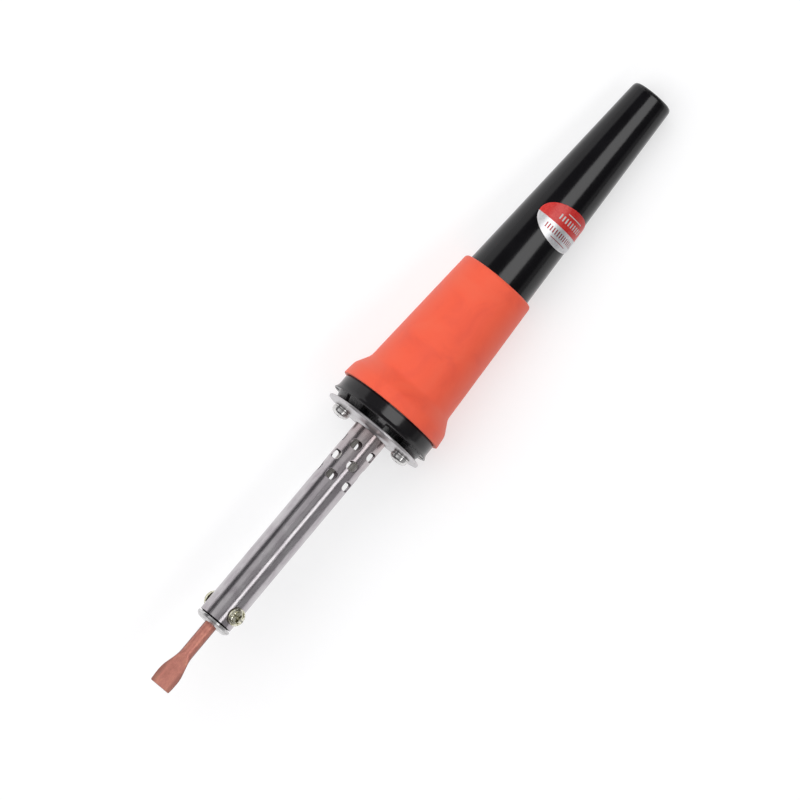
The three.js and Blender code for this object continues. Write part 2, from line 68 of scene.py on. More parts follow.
# ------------------------------------------------------------------ where the tool lies

CORD_END_FACE = (116.3, 0.0, 4.8)  # the mount's point in tool coordinates


def tool_matrix():
    """Carries tool coordinates in millimetres to the row frame in metres."""
    axis = Vector(next(j for j in frame["joints"] if j["name"] == "bit_slide")["axis"])
    turn = Matrix.Rotation(math.atan2(axis.z, -axis.x), 4, "Y")
    mounts = {m["name"]: m for m in frame["record"]["mounts"]}
    place = Vector(mounts["cord_end_face"]["pos_m"]) - turn @ (Vector(CORD_END_FACE) * MM)
    return Matrix.Translation(place) @ turn @ Matrix.Scale(MM, 4)


TOOL = tool_matrix()
TO_TOOL = TOOL.inverted()


class Span:
    """A CAD node's extent in tool coordinates: front, rear and distance from the axis."""

    def __init__(self, node):
        points = [TO_TOOL @ v.co for v in frame["nodes"][node].data.vertices]
        self.front = min(p.x for p in points)
        self.rear = max(p.x for p in points)
        self.reach = max(math.hypot(p.y, p.z) for p in points)


BIT = Span("copper_bit")
BUSH = Span("front_bush")
BARREL = Span("barrel_tube")
FLANGE = Span("mounting_flange")
HANDLE = Span("handle_shell")
GRIP = Span("grip_sleeve")
GROMMET = Span("inlet_grommet")
CLAMP = Span("clamp_screw_upper")
FLANGE_SCREW = Span("flange_screw_right")

CLAMP_STATION = (CLAMP.front + CLAMP.rear) / 2
CLAMP_ANGLE = 44
CLAMP_HOLE_RADIUS = 1.65
BUSH_FLANGE_REAR = -84.15  # the face of the bush's flange that the barrel stands on
DISC_FRONT = -9.1  # front face of the handle's disc
FLANGE_SCREW_ANGLE = 74
FLANGE_SCREW_PITCH = 11.25

SLOTS = {s["node"]: s["material_slot"] for s in frame["record"]["subparts"]}
REPLACED = set()  # the CAD nodes that finer pieces stand for


def around(angle, radius, station=0.0):
    """A point at an angle about the tool axis."""
    turn = math.radians(angle)
    return Vector((station, -radius * math.sin(turn), radius * math.cos(turn)))


# ------------------------------------------------------------------ mesh tools


def finish_piece(name, bm, body, node, material, crease=32):
    """Turns a closed bmesh in tool coordinates into a piece that stands for a CAD node."""
    bmesh.ops.remove_doubles(bm, verts=bm.verts, dist=1e-4)
    bmesh.ops.recalc_face_normals(bm, faces=bm.faces)
    mesh = bpy.data.meshes.new(name)
    bm.to_mesh(mesh)
    bm.free()
    mesh.transform(TOOL)
    mesh.shade_smooth()
    mesh.set_sharp_from_angle(angle=math.radians(crease))
    mesh.materials.append(material)
    piece = bpy.data.objects.new(name, mesh)
    bpy.context.scene.collection.objects.link(piece)
    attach(piece, body)
    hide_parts(node)
    REPLACED.add(node)


def rounded(outline, steps=5):
    """Rounds the corners of a closed outline of (x, y, corner size) with short curves."""
    points = []
    count = len(outline)
    for i, (x, y, size) in enumerate(outline):
        here = Vector((x, y))
        if size <= 0:
            points.append(here)
            continue
        before = Vector(outline[i - 1][:2]) - here
        after = Vector(outline[(i + 1) % count][:2]) - here
        start = here + before.normalized() * min(size, before.length * 0.48)
        end = here + after.normalized() * min(size, after.length * 0.48)
        for step in range(steps + 1):
            t = step / steps
            points.append(start * (1 - t) ** 2 + here * (2 * t * (1 - t)) + end * t * t)
    return points


def turned(outline, facets=AROUND, steps=5):
    """Turns a closed (station, radius, corner size) outline about the tool axis."""
    bm = bmesh.new()
    rings = []
    for point in rounded(outline, steps):
        if point.y < 1e-6:
            centre = bm.verts.new((point.x, 0, 0))
            rings.append([centre] * facets)
            continue
        ring = []
        for k in range(facets):
            ring.append(bm.verts.new(around(360 * k / facets, point.y, point.x)))
        rings.append(ring)
    for i in range(len(rings)):
        join_rings(bm, rings[i - 1], rings[i])
    return bm


def join_rings(bm, first, second):
    """Quads, or triangles at a point, between two closed rings of vertices."""
    count = len(first)
    for k in range(count):
        corners = []
        after = (k + 1) % count
        for vert in (first[k], first[after], second[after], second[k]):
            if vert not in corners:
                corners.append(vert)
        if len(corners) > 2:
            bm.faces.new(corners)


def stand(bm, station, angle, lift=0.0):
    """Moves a bmesh drawn about +X so that its +X points outwards from the tool axis."""
    bm.transform(Matrix.Rotation(-math.pi / 2, 4, "Y"))
    bm.transform(Matrix.Translation((0, 0, lift)))
    bm.transform(Matrix.Rotation(math.radians(angle), 4, "X"))
    bm.transform(Matrix.Translation((station, 0, 0)))


def set_out(bm, distance, angle):
    """Moves a bmesh drawn about the tool axis out from it, and then round it."""
    bm.transform(Matrix.Translation((0, 0, distance)))
    bm.transform(Matrix.Rotation(math.radians(angle), 4, "X"))


def boolean(base, others, operation):
    """Joins bmeshes to, or cuts them from, a base bmesh, and returns the result."""
    target = temporary(base)
    for other in others:
        tool = temporary(other)
        modifier = target.modifiers.new("boolean", "BOOLEAN")
        modifier.object = tool
        modifier.operation = operation
        modifier.solver = "EXACT"
        graph = bpy.context.evaluated_depsgraph_get()
        result = bpy.data.meshes.new_from_object(target.evaluated_get(graph))
        target.modifiers.clear()
        target.data = result
        bpy.data.objects.remove(tool)
    bm = bmesh.new()
    bm.from_mesh(target.data)
    bpy.data.objects.remove(target)
    return bm


def temporary(bm):
    """An object that holds a bmesh while a boolean is worked out."""
    bmesh.ops.remove_doubles(bm, verts=bm.verts, dist=1e-4)
    bmesh.ops.recalc_face_normals(bm, faces=bm.faces)
    mesh = bpy.data.meshes.new("temporary")
    bm.to_mesh(mesh)
    bm.free()
    obj = bpy.data.objects.new("temporary", mesh)
    bpy.context.scene.collection.objects.link(obj)
    return obj


# ------------------------------------------------------------------ material tools


class Surface:
    """A principled material with short calls for its procedural nodes."""

    def __init__(self, name, **uniform):
        self.material = bpy.data.materials.new(name)
        self.material.use_nodes = True
        self.nodes = self.material.node_tree.nodes
        self.links = self.material.node_tree.links
        self.shader = self.nodes["Principled BSDF"]
        for socket, value in uniform.items():
            self.shader.inputs[socket.replace("_", " ")].default_value = value
        self._place = None

    def node(self, kind, inputs=(), **settings):
        node = self.nodes.new(kind)
        for key, value in settings.items():
            setattr(node, key, value)
        for key, value in dict(inputs).items():
            self.put(node.inputs[key], value)
        return node

    def put(self, socket, value):
        if isinstance(value, bpy.types.NodeSocket):
            self.links.new(value, socket)
        else:
            socket.default_value = value

    def set(self, socket, value):
        self.put(self.shader.inputs[socket], value)

    def math(self, operation, a, b=0.0, c=0.0):
        node = self.node("ShaderNodeMath", {0: a, 1: b, 2: c}, operation=operation)
        return node.outputs[0]

    def place(self):
        """The point in tool coordinates, in millimetres."""
        if self._place is None:
            source = self.node("ShaderNodeTexCoord").outputs["Object"]
            turn = TO_TOOL.to_euler()
            mapping = self.node("ShaderNodeMapping", {"Vector": source})
            mapping.inputs["Location"].default_value = TO_TOOL.translation
            mapping.inputs["Rotation"].default_value = turn
            mapping.inputs["Scale"].default_value = (1 / MM, 1 / MM, 1 / MM)
            self._place = mapping.outputs["Vector"]
        return self._place

    def polar(self):
        """Station, angle in radians and distance from the tool axis."""
        parts = self.node("ShaderNodeSeparateXYZ", {0: self.place()}).outputs
        angle = self.math("ARCTAN2", self.math("MULTIPLY", parts[1], -1.0), parts[2])
        square = self.math("ADD", self.math("POWER", parts[1], 2.0), self.math("POWER", parts[2], 2.0))
        return parts[0], angle, self.math("SQRT", square)

    def stretched(self, x, y, z):
        """The tool coordinates scaled along each axis, to draw out a texture."""
        node = self.node("ShaderNodeMapping", {"Vector": self.place()})
        node.inputs["Scale"].default_value = (x, y, z)
        return node.outputs["Vector"]

    def wrapped(self, along, round_axis, radius=5.0):
        """A vector that runs along the axis and round it, scaled each way."""
        station, angle, _ = self.polar()
        x = self.math("MULTIPLY", station, along)
        # The sine and cosine of the angle close up without a seam.
        y = self.math("MULTIPLY", self.math("SINE", angle), round_axis * radius)
        z = self.math("MULTIPLY", self.math("COSINE", angle), round_axis * radius)
        return self.node("ShaderNodeCombineXYZ", {0: x, 1: y, 2: z}).outputs[0]

    def noise(self, vector=None, scale=1.0, detail=3.0, roughness=0.5, distortion=0.0):
        inputs = {
            "Vector": vector or self.place(),
            "Scale": scale,
            "Detail": detail,
            "Roughness": roughness,
            "Distortion": distortion,
        }
        return self.node("ShaderNodeTexNoise", inputs).outputs["Fac"]

    def ramp(self, factor, *stops):
        """A smooth ramp of (position, value) stops, the value a number or a colour."""
        node = self.node("ShaderNodeValToRGB", {"Fac": factor})
        elements = node.color_ramp.elements
        while len(elements) < len(stops):
            elements.new(0.5)
        for element, (position, value) in zip(elements, stops):
            element.position = position
            colour = value if isinstance(value, tuple) else (value, value, value)
            element.color = (*colour, 1.0)
        return node.outputs["Color"]

    def mix(self, factor, a, b, blend="MIX"):
        node = self.node("ShaderNodeMix", data_type="RGBA", blend_type=blend)
        self.put(node.inputs["Factor"], factor)
        for socket, value in ((node.inputs[6], a), (node.inputs[7], b)):
            self.put(socket, value if isinstance(value, bpy.types.NodeSocket) else (*value, 1.0))
        return node.outputs[2]

    def range(self, value, low, high, to_low=0.0, to_high=1.0):
        inputs = {0: value, 1: low, 2: high, 3: to_low, 4: to_high}
        return self.node("ShaderNodeMapRange", inputs).outputs[0]

    def bump(self, height, depth, strength=1.0, under=None):
        """Bump whose height of one is a depth in millimetres."""
        node = self.node("ShaderNodeBump", {"Height": height, "Strength": strength})
        node.inputs["Distance"].default_value = depth * MM
        if under is not None:
            self.links.new(under, node.inputs["Normal"])
        self.links.new(node.outputs["Normal"], self.shader.inputs["Normal"])
        return node.outputs["Normal"]


def metal(name, **uniform):
    return Surface(name, Metallic=1.0, **uniform)


# ------------------------------------------------------------------ materials


def copper():
    """Bare forged copper: salmon with a soft bloom, and painted shade in a dark oxide colour on its narrow sides
    and blade margins.
    """
    s = Surface("copper", Metallic=0.7)
    bloom = s.noise(scale=0.45, detail=5.0, roughness=0.6, distortion=0.5)
    specks = s.noise(scale=3.2, detail=5.0, roughness=0.7)
    file_marks = s.noise(s.stretched(0.4, 3.0, 3.0), scale=1.6, detail=3.0)
    base = s.ramp(bloom, (0.3, (0.61, 0.245, 0.19)), (0.5, (0.71, 0.29, 0.23)), (0.7, (0.80, 0.36, 0.25)))
    dull = s.ramp(specks, (0.3, (0.8, 0.74, 0.74)), (0.55, (1.0, 1.0, 1.0)))
    marked = s.ramp(file_marks, (0.35, (0.9, 0.87, 0.87)), (0.6, (1.0, 1.0, 1.0)))
    clean = s.mix(0.7, s.mix(0.5, base, dull, "MULTIPLY"), marked, "MULTIPLY")
    normal = s.node("ShaderNodeTexCoord").outputs["Normal"]
    facing_up = s.math("ABSOLUTE", s.node("ShaderNodeSeparateXYZ", {0: normal}).outputs[2])
    across = s.math("ABSOLUTE", s.node("ShaderNodeSeparateXYZ", {0: s.place()}).outputs[1])
    # Painted shade darkens the sides that don't face up. Past the shank's radius there is only the blade, whose
    # long margins get painted shade too.
    margin = s.range(across, 1.9, 2.8, 0.0, 0.5)
    painted_side_shade = s.math("MAXIMUM", s.ramp(facing_up, (0.25, 0.95), (0.88, 0.0)), margin)
    s.set("Base Color", s.mix(painted_side_shade, clean, (0.17, 0.075, 0.065)))
    s.set("Roughness", s.range(s.noise(scale=2.5, detail=4.0), 0.3, 0.7, 0.33, 0.5))
    grain = s.bump(s.noise(scale=9.0, detail=4.0), 0.015, 0.5)
    s.bump(file_marks, 0.03, 0.3, grain)
    return s.material


def barrel_steel():
    """Drawn tube, polished along its length and a little blued where it meets the flange."""
    s = metal("barrel_steel")
    station, _, _ = s.polar()
    lines = s.noise(s.wrapped(0.06, 3.0), scale=2.0, detail=4.0, roughness=0.6)
    cloud = s.noise(s.wrapped(0.25, 0.6), scale=0.7, detail=4.0, distortion=0.6)
    base = s.ramp(cloud, (0.3, (0.42, 0.386, 0.41)), (0.55, (0.507, 0.48, 0.498)), (0.75, (0.56, 0.54, 0.55)))
    tint = s.ramp(
        s.range(station, BARREL.rear - 34, BARREL.rear),
        (0.0, (1.0, 1.0, 1.0)),
        (0.45, (0.96, 0.945, 0.95)),
        (0.8, (0.99, 0.94, 0.91)),
        (0.92, (0.98, 0.85, 0.81)),
        (1.0, (0.84, 0.68, 0.62)),
    )
    s.set("Base Color", s.mix(1.0, base, tint, "MULTIPLY"))
    s.set("Roughness", s.range(lines, 0.3, 0.7, 0.16, 0.28))
    fine = s.bump(lines, 0.01, 0.5)
    s.bump(s.noise(s.wrapped(0.12, 0.5), scale=0.6, detail=2.0), 0.03, 0.35, fine)
    return s.material


def turned_steel(name, colour, roughness, wear=0.28, painted_shade_from=None):
    """Bright steel with the lathe's fine rings and handling marks, and painted shade, near black, behind a
    station.
    """
    s = metal(name)
    station, _, reach = s.polar()
    rings = s.noise(s.node("ShaderNodeCombineXYZ", {0: station, 1: reach}).outputs[0], scale=9.0, detail=3.0)
    marks = s.noise(scale=0.9, detail=5.0, roughness=0.65)
    darker = tuple((1 - wear) * c for c in colour)
    base = s.mix(s.ramp(marks, (0.35, 0.0), (0.62, 1.0)), darker, colour)
    if painted_shade_from is not None:
        # Painted shade: near black from the station rearwards, in the gap where the barrel stands on the bush.
        base = s.mix(s.range(station, painted_shade_from, painted_shade_from + 0.1), base, (0.012, 0.011, 0.011))
    s.set("Base Color", base)
    s.set("Roughness", s.range(marks, 0.3, 0.7, roughness + 0.12, roughness))
    s.bump(rings, 0.012, 0.6)
    return s.material


def yellow_zinc():
    """Yellow passivated zinc, with its patchy green and straw sheen."""
    s = metal("yellow_zinc")
    patches = s.noise(scale=1.2, detail=3.0, roughness=0.6, distortion=1.2)
    base = s.ramp(
        patches,
        (0.34, (0.09, 0.085, 0.05)),
        (0.44, (0.38, 0.36, 0.22)),
        (0.52, (0.74, 0.72, 0.56)),
        (0.62, (0.84, 0.83, 0.74)),
        (0.74, (0.36, 0.36, 0.32)),
    )
    s.set("Base Color", base)
    s.set("Roughness", s.range(s.noise(scale=4.0), 0.3, 0.7, 0.14, 0.3))
    s.bump(s.noise(scale=3.0, detail=3.0), 0.04, 0.5)
    return s.material


def bright_screw():
    """Nickel-plated screw steel with faint wear."""
    s = metal("screw_steel")
    wear = s.noise(scale=1.4, detail=5.0, roughness=0.6)
    s.set("Base Color", s.ramp(wear, (0.3, (0.56, 0.55, 0.54)), (0.65, (0.78, 0.77, 0.76))))
    s.set("Roughness", s.range(wear, 0.3, 0.7, 0.26, 0.15))
    s.bump(s.noise(scale=6.0, detail=3.0), 0.01, 0.5)
    return s.material


def black_moulding():
    """Glossy black phenolic: faint flow marks, dust, hairline rubbing and a painted highlight line along the
    disc's front face.
    """
    s = Surface("black_moulding", Specular_IOR_Level=0.36)
    cloud = s.noise(scale=0.12, detail=4.0)
    dust = s.noise(scale=3.5, detail=6.0, roughness=0.75)
    rubs = s.noise(s.wrapped(0.35, 0.9, 9.0), scale=3.0, detail=5.0, roughness=0.7)
    base = s.ramp(cloud, (0.3, (0.0035, 0.003, 0.004)), (0.7, (0.0065, 0.006, 0.0075)))
    station, _, _ = s.polar()
    cord_edge = s.range(station, HANDLE.rear - 1.6, HANDLE.rear - 0.3)
    rim_edge = s.range(station, HANDLE.front + 2.4, HANDLE.front + 1.6)
    worn = s.math("MULTIPLY", s.math("MAXIMUM", cord_edge, rim_edge), s.ramp(rubs, (0.42, 0.0), (0.62, 0.7)))
    # The bare front end, ahead of the grip, is greyer with dust.
    front_end = s.range(station, GRIP.front, GRIP.front - 0.4)
    front_dust = s.math("MULTIPLY", front_end, s.ramp(cloud, (0.3, 0.6), (0.7, 0.9)))
    greyer = s.mix(front_dust, base, (0.0165, 0.0155, 0.017))
    dusty = s.mix(s.ramp(dust, (0.64, 0.0), (0.82, 0.25)), greyer, (0.04, 0.038, 0.04))
    # Painted highlight: a thin pale line on the disc's front face, where its edge would catch the light.
    from_face = s.math("ABSOLUTE", s.math("SUBTRACT", station, DISC_FRONT))
    painted_face_highlight = s.mix(s.range(from_face, 0.15, 0.05), dusty, (0.1, 0.096, 0.1))
    s.set("Base Color", s.mix(worn, painted_face_highlight, (0.06, 0.057, 0.057)))
    s.set("Roughness", s.math("ADD", s.range(rubs, 0.35, 0.7, 0.13, 0.22), s.math("MULTIPLY", worn, 0.25)))
    flow = s.bump(s.noise(s.wrapped(0.08, 0.25, 9.0), scale=1.0, detail=2.0), 0.05, 0.35)
    s.bump(dust, 0.004, 0.5, flow)
    return s.material


def orange_silicone():
    """Soft matte silicone with a fine skin, faint marbling and a dusty bloom."""
    s = Surface("orange_silicone", Subsurface_Weight=0.1, Subsurface_Scale=0.002, Sheen_Weight=0.08)
    s.shader.inputs["Subsurface Radius"].default_value = (1.0, 0.3, 0.15)
    s.shader.inputs["Sheen Roughness"].default_value = 0.5
    marble = s.noise(scale=0.09, detail=4.0, roughness=0.55, distortion=0.7)
    skin = s.noise(scale=5.0, detail=5.0, roughness=0.7)
    base = s.ramp(
        marble,
        (0.32, (0.82, 0.092, 0.042)),
        (0.5, (0.88, 0.106, 0.046)),
        (0.7, (0.88, 0.12, 0.056)),
    )
    s.set("Base Color", s.mix(s.ramp(skin, (0.62, 0.0), (0.85, 0.12)), base, (0.9, 0.3, 0.22)))
    s.set("Roughness", s.range(marble, 0.3, 0.7, 0.5, 0.62))
    fine = s.bump(skin, 0.012, 0.5)
    s.bump(s.noise(scale=0.16, detail=2.0), 0.2, 0.3, fine)
    return s.material


def fired(name, low, high, roughness):
    """Mica, porcelain and other fired or mineral pieces: speckle and a glaze that varies."""
    s = Surface(name)
    speckle = s.noise(scale=2.2, detail=6.0, roughness=0.7)
    s.set("Base Color", s.ramp(speckle, (0.35, low), (0.65, high)))
    s.set("Roughness", s.range(speckle, 0.3, 0.7, roughness, roughness + 0.15))
    s.bump(speckle, 0.02, 0.5)
    return s.material


def wound(name, colour, pitch):
    """Resistance wire side by side: painted shade in one dark line for each turn along the tool."""
    s = metal(name)
    station, _, _ = s.polar()
    turn = s.math("PINGPONG", station, pitch / 2)
    shade = s.range(turn, 0.0, pitch / 2)
    # Painted shade: the colour falls to a dark line at each turn, as in the groove beside the next one.
    dark = tuple(0.3 * c for c in colour)
    s.set("Base Color", s.mix(shade, dark, colour))
    s.set("Roughness", s.range(s.noise(scale=3.0), 0.3, 0.7, 0.35, 0.5))
    s.bump(shade, 0.12, 0.8)
    return s.material


def braided(name, low, high):
    """Glass-fibre sleeving: two crossing runs of thread."""
    s = Surface(name, Sheen_Weight=0.2)
    station, angle, _ = s.polar()
    uneven = s.noise(scale=2.0)
    along = s.math("MULTIPLY", station, 7.0)
    round_axis = s.math("MULTIPLY", angle, 12.0)
    first = s.math("SINE", s.math("ADD", along, round_axis))
    second = s.math("SINE", s.math("SUBTRACT", along, round_axis))
    weave = s.range(s.math("MULTIPLY", first, second), -1.0, 1.0)
    s.set("Base Color", s.mix(weave, low, high))
    s.set("Roughness", s.range(uneven, 0.3, 0.7, 0.8, 0.95))
    s.bump(weave, 0.08, 0.7)
    return s.material


def soft_rubber():
    """Dull black rubber with a little dust."""
    s = Surface("black_rubber")
    dust = s.noise(scale=3.0, detail=6.0, roughness=0.7)
    s.set("Base Color", s.ramp(dust, (0.4, (0.011, 0.011, 0.012)), (0.8, (0.035, 0.034, 0.034))))
    s.set("Roughness", s.range(dust, 0.3, 0.7, 0.55, 0.75))
    s.bump(dust, 0.02, 0.6)
    return s.material


LABEL = {"station": 68.6, "angle": 38.0, "half_axial": 6.2, "half_around": 10.5, "divider": -0.5}


def printed_label():
    """Two-tone foil: a red field and a silver field, each with plain printed rules."""
    s = Surface("label_foil", Specular_IOR_Level=0.25, Coat_Weight=0.08, Coat_Roughness=0.12)
    station, angle, reach = s.polar()
    along = s.math("SUBTRACT", station, LABEL["station"])
    turn = s.math("SUBTRACT", angle, math.radians(LABEL["angle"]))
    across = s.math("MULTIPLY", turn, reach)
    red_side = s.math("GREATER_THAN", along, LABEL["divider"])
    wear = s.noise(scale=1.6, detail=5.0, roughness=0.65)
    silver = s.ramp(wear, (0.35, (0.70, 0.70, 0.72)), (0.7, (0.86, 0.86, 0.87)))
    red = s.ramp(wear, (0.35, (0.86, 0.03, 0.03)), (0.7, (0.96, 0.08, 0.065)))

    def rule(centre, half_height, middle, half_width):
        """One inside a printed bar, zero outside it."""
        high = s.math("ABSOLUTE", s.math("SUBTRACT", along, centre))
        wide = s.math("ABSOLUTE", s.math("SUBTRACT", across, middle))
        inside = s.math("LESS_THAN", high, half_height)
        return s.math("MULTIPLY", inside, s.math("LESS_THAN", wide, half_width))

    def bars(centre, half_height, middle, half_width, pitch):
        """A row of short upright bars."""
        phase = s.math("FLOORED_MODULO", across, pitch)
        on_bar = s.math("LESS_THAN", phase, 0.42 * pitch)
        return s.math("MULTIPLY", rule(centre, half_height, middle, half_width), on_bar)

    white = s.math("MAXIMUM", bars(2.0, 0.85, 0.3, 4.9, 1.15), rule(4.0, 0.14, 0.3, 3.2))
    dark = s.math("MAXIMUM", bars(-2.5, 0.85, -0.2, 6.4, 0.95), rule(-4.4, 0.12, 0.0, 3.4))
    red_field = s.mix(white, red, (0.9, 0.86, 0.85))
    silver_field = s.mix(dark, silver, (0.34, 0.03, 0.045))
    printed = s.mix(red_side, silver_field, red_field)
    high = s.math("POWER", s.math("DIVIDE", along, LABEL["half_axial"]), 2.0)
    wide = s.math("POWER", s.math("DIVIDE", across, LABEL["half_around"]), 2.0)
    outermost = s.math("GREATER_THAN", s.math("ADD", high, wide), 0.95)
    border = s.math("MULTIPLY", outermost, s.math("SUBTRACT", 1.0, red_side))
    s.set("Base Color", s.mix(border, printed, (0.86, 0.84, 0.85)))
    s.set("Metallic", s.math("MULTIPLY", s.math("SUBTRACT", 1.0, red_side), 0.3))
    s.set("Roughness", s.range(wear, 0.3, 0.7, 0.26, 0.4))
    s.bump(wear, 0.01, 0.5)
    return s.material


MATERIALS = {
    "copper": copper(),
    "barrel_steel": barrel_steel(),
    "bush_steel": turned_steel("bush_steel", (0.66, 0.65, 0.65), 0.2, painted_shade_from=BUSH_FLANGE_REAR - 0.05),
    "yellow_zinc": yellow_zinc(),
    "heater_steel": turned_steel("heater_steel", (0.3, 0.28, 0.27), 0.45),
    "mica": fired("mica", (0.36, 0.28, 0.17), (0.52, 0.44, 0.3), 0.35),
    "nickel_wire": wound("nickel_wire", (0.42, 0.38, 0.33), 0.5),
    "porcelain": fired("porcelain", (0.74, 0.71, 0.64), (0.84, 0.82, 0.76), 0.2),
    "glass_sleeving": braided("glass_sleeving", (0.42, 0.4, 0.37), (0.86, 0.84, 0.8)),
    "plate_steel": turned_steel("plate_steel", (0.6, 0.58, 0.59), 0.28, wear=0.12),
    "screw_steel": bright_screw(),
    "terminal_brass": turned_steel("terminal_brass", (0.62, 0.46, 0.17), 0.28),
    "black_moulding": black_moulding(),
    "orange_silicone": orange_silicone(),
    "label_foil": printed_label(),
    "black_rubber": soft_rubber(),
}


# ------------------------------------------------------------------ copper bit

BLADE = {
    "shoulder": -96.5,
    "full_width": -105.3,
    "flat_rear": -101.5,
    "half_width": 3.5,
    "half_thickness": 0.9,
}
SHANK_RADIUS = 2.0


def blade_half_width(station):
    """An S from the shank to the full width, then a slight pinch at the square end."""
    along = (BLADE["shoulder"] - station) / (BLADE["shoulder"] - BLADE["full_width"])
    if along > 1:
        past = (BLADE["full_width"] - station) / (BLADE["full_width"] - BIT.front)
        return BLADE["half_width"] - 0.22 * past * past
    eased = (1 - math.cos(math.pi * max(along, 0.0))) / 2
    return SHANK_RADIUS + (BLADE["half_width"] - SHANK_RADIUS) * eased


def blade_half_thickness(station):
    along = (BLADE["shoulder"] - station) / (BLADE["shoulder"] - BLADE["flat_rear"])
    along = min(max(along, 0.0), 1.0)
    eased = along * along * (3 - 2 * along)
    return SHANK_RADIUS + (BLADE["half_thickness"] - SHANK_RADIUS) * eased


def superellipse(angle, half_width, half_height, power):
    """The point of a rounded box in the direction of an angle from +Z towards -Y."""
    across = math.sin(angle)
    up = math.cos(angle)
    size = (abs(across / half_width) ** power + abs(up / half_height) ** power) ** (-1 / power)
    return -across * size, up * size


def copper_bit():
    bm = bmesh.new()
    corners = 96
    end_chamfer = 0.18
    stations = [BIT.front, BIT.front + 0.02, BIT.front + end_chamfer]
    blade_rear = BLADE["shoulder"] + 2.5
    blade_steps = 54
    for i in range(1, blade_steps + 1):
        stations.append(stations[2] + (blade_rear - stations[2]) * i / blade_steps)
    stations += [(blade_rear + BIT.rear) / 2, BIT.rear - 0.5, BIT.rear]
    rings = []
    for station in stations:
        width = blade_half_width(station)
        height = blade_half_thickness(station)
        flatness = (SHANK_RADIUS - height) / (SHANK_RADIUS - BLADE["half_thickness"])
        power = 2 + 5 * min(flatness * 1.6, 1.0)
        inset = 0.0
        if station <= BIT.front + 0.02:
            inset = 0.12
        if station >= BIT.rear:
            inset = 0.45
        ring = []
        for k in range(corners):
            angle = 2 * math.pi * k / corners
            # More corners go to the narrow edges of the flat blade.
            angle += 0.22 * flatness * math.sin(2 * angle)
            y, z = superellipse(angle, width - inset, height - inset, power)
            dent = noise.noise(Vector((station * 0.55, y * 0.7, z * 0.7))) * 0.05 * flatness
            scale = 1 + dent / max(math.hypot(y, z), 0.5)
            ring.append(bm.verts.new((station, y * scale, z * scale)))
        rings.append(ring)
    for first, second in zip(rings, rings[1:]):
        join_rings(bm, first, second)
    bm.faces.new(rings[0])
    bm.faces.new(rings[-1][::-1])
    finish_piece("forged_bit", bm, "bit", "copper_bit", MATERIALS["copper"], 40)


# ------------------------------------------------------------------ screws


def slot_cutter(top, depth, half_length, half_width, turn):
    """A tapered slot to cut into a screw head whose top is at a station."""
    bm = bmesh.new()
    levels = []
    for station, shrink in ((top - depth, 0.55), (top + 1.0, 1.12)):
        y = half_length * shrink
        z = half_width * (0.75 + 0.25 * shrink)
        corners = [(station, -y, -z), (station, y, -z), (station, y, z), (station, -y, z)]
        levels.append([bm.verts.new(c) for c in corners])
    join_rings(bm, levels[0], levels[1])
    bm.faces.new(levels[0][::-1])
    bm.faces.new(levels[1])
    bm.transform(Matrix.Rotation(math.radians(turn), 4, "X"))
    return bm


def cross_recess(top, depth, half_length, half_width):
    return [slot_cutter(top, depth, half_length, half_width, turn) for turn in (0, 90)]


def pan_head(seat, head_radius, edge, dome, shank_radius, shank_end):
    """A pan head and its shank as one turned solid about +X."""
    top = seat + edge + dome
    shank_rings = math.ceil((seat - shank_end - 0.4) / 0.06)
    outline = [
        (shank_end, 0.0, 0),
        (shank_end, shank_radius * 0.7, 0),
    ]
    for ring in range(shank_rings + 1):
        station = shank_end + 0.4 + (seat - shank_end - 0.4) * ring / shank_rings
        outline.append((station, shank_radius, 0))
    outline += [
        (seat, head_radius, 0.12),
        (seat + edge, head_radius, 0.4),
        (seat + edge + dome * 0.72, head_radius * 0.76, 0.9),
        (top, head_radius * 0.36, 0.6),
        (top, 0.0, 0),
    ]
    return turned(outline, SMALL_AROUND), top


def cut_thread(bm, low, high, crest, root, pitch):
    """Cuts a helical thread into the shank of a screw that is drawn about +X."""
    for vert in bm.verts:
        radius = math.hypot(vert.co.y, vert.co.z)
        if not low < vert.co.x < high or abs(radius - crest) > 1e-3:
            continue
        turn = math.atan2(-vert.co.y, vert.co.z) / (2 * math.pi)
        phase = (vert.co.x / pitch - turn) % 1
        depth = (crest - root) * min(1.0, 1.5 * (1 - abs(2 * phase - 1)))
        depth *= min(1.0, (vert.co.x - low) / pitch, (high - vert.co.x) / pitch)
        vert.co.y *= (radius - depth) / radius
        vert.co.z *= (radius - depth) / radius


def clamp_screw(name, node, body, angle):
    seat = 5.8
    crest = 1.42
    bm, top = pan_head(seat, head_radius=2.8, edge=0.95, dome=0.7, shank_radius=crest, shank_end=2.3)
    cut_thread(bm, low=2.7, high=seat - 0.3, crest=crest, root=1.12, pitch=0.5)
    cuts = cross_recess(top, depth=1.15, half_length=1.5, half_width=0.33)
    # One arm runs on to the rim, so that a flat blade fits too.
    cuts.append(slot_cutter(top, depth=0.75, half_length=4.0, half_width=0.3, turn=0))
    bm = boolean(bm, cuts, "DIFFERENCE")
    stand(bm, CLAMP_STATION, angle)
    finish_piece(name, bm, body, node, MATERIALS["yellow_zinc"], 30)


def flange_screw(name, node, angle):
    """Drawn with its head towards +X, then turned round to face the bit."""
    head_height = 2.0
    recess_turn = 20
    seat = -(FLANGE_SCREW.front + head_height)
    bm, top = pan_head(seat, head_radius=2.9, edge=1.0, dome=1.0, shank_radius=1.4, shank_end=seat - 7.0)
    recess = cross_recess(top, depth=1.25, half_length=1.6, half_width=0.36)
    bm = boolean(bm, recess, "DIFFERENCE")
    bm.transform(Matrix.Rotation(math.pi, 4, "Z"))
    bm.transform(Matrix.Rotation(math.radians(recess_turn), 4, "X"))
    set_out(bm, FLANGE_SCREW_PITCH, angle)
    finish_piece(name, bm, "root", node, MATERIALS["screw_steel"], 30)


